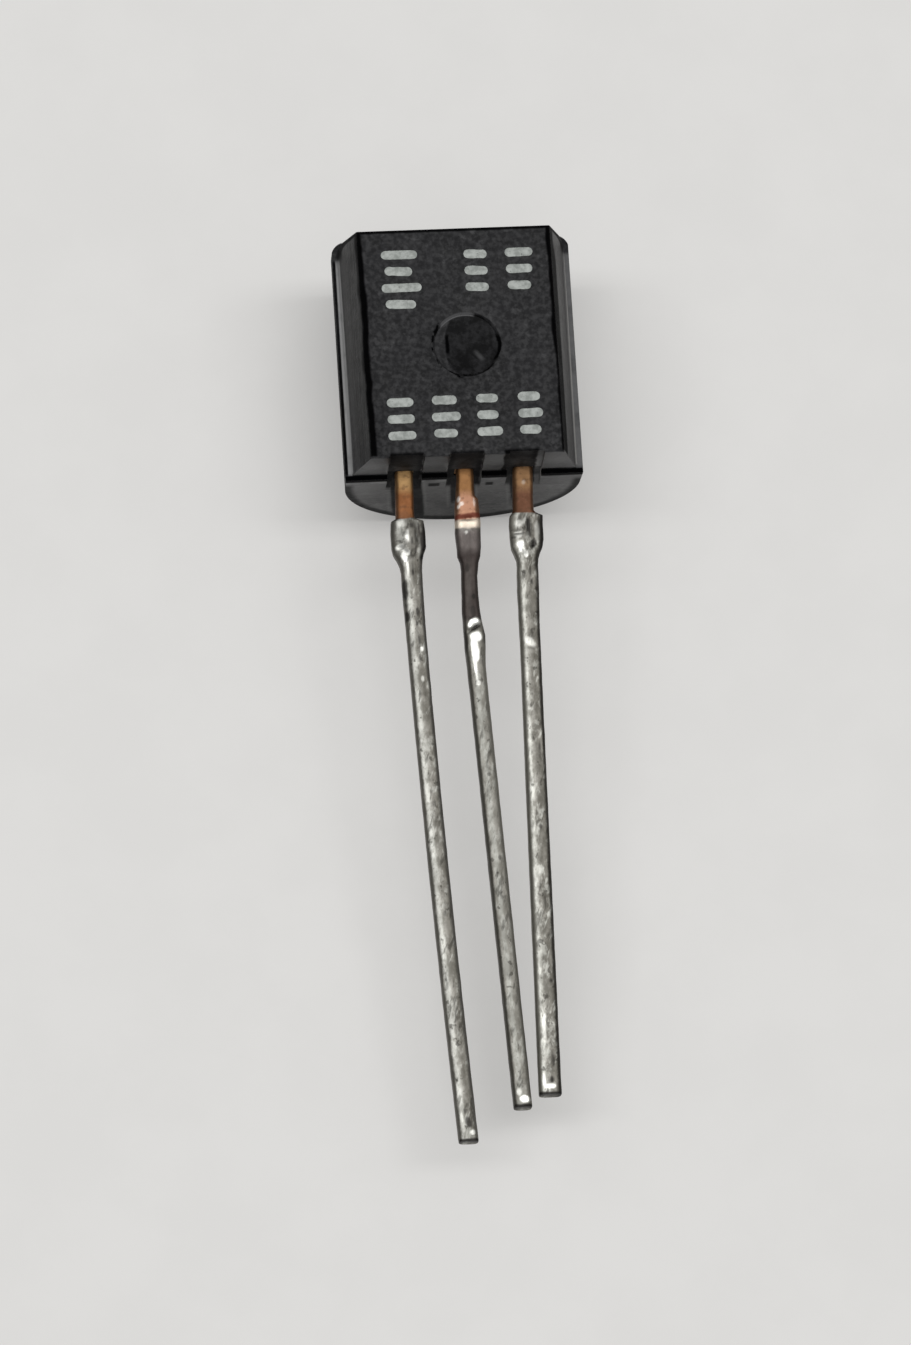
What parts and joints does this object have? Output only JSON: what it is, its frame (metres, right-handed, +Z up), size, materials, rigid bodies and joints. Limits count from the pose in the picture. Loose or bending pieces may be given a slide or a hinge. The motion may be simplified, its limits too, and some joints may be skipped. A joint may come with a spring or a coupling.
{
  "type": "to-92 transistor",
  "caption": "Small transistor in a moulded black half-round body with a flat bevelled front, a round back and slim tinned leads, for soldering into a circuit board.",
  "frame": {"origin": "the middle of the lowest line of the round back, where the lying part meets the surface", "axes": "+Z up out of the flat front face, +Y from the leads' tips to the body's plain end, +X to the right as the flat face is looked at with the leads down"},
  "size_m": [0.005, 0.0196, 0.0041],
  "materials": {
    "epoxy": "fine satin moulding compound, mid-grey black",
    "tinned_lead": "dull tin plate over copper, bare copper at the neck",
    "silicon": "polished",
    "solder": "satin",
    "gold_wire": "bright"
  },
  "bodies": {
    "root": {"epoxy_body": "epoxy", "base_lead": "tinned_lead", "collector_lead": "tinned_lead", "emitter_lead": "tinned_lead", "die": "silicon", "die_solder": "solder", "base_wire": "gold_wire", "emitter_wire": "gold_wire"}
  },
  "joints": []
}
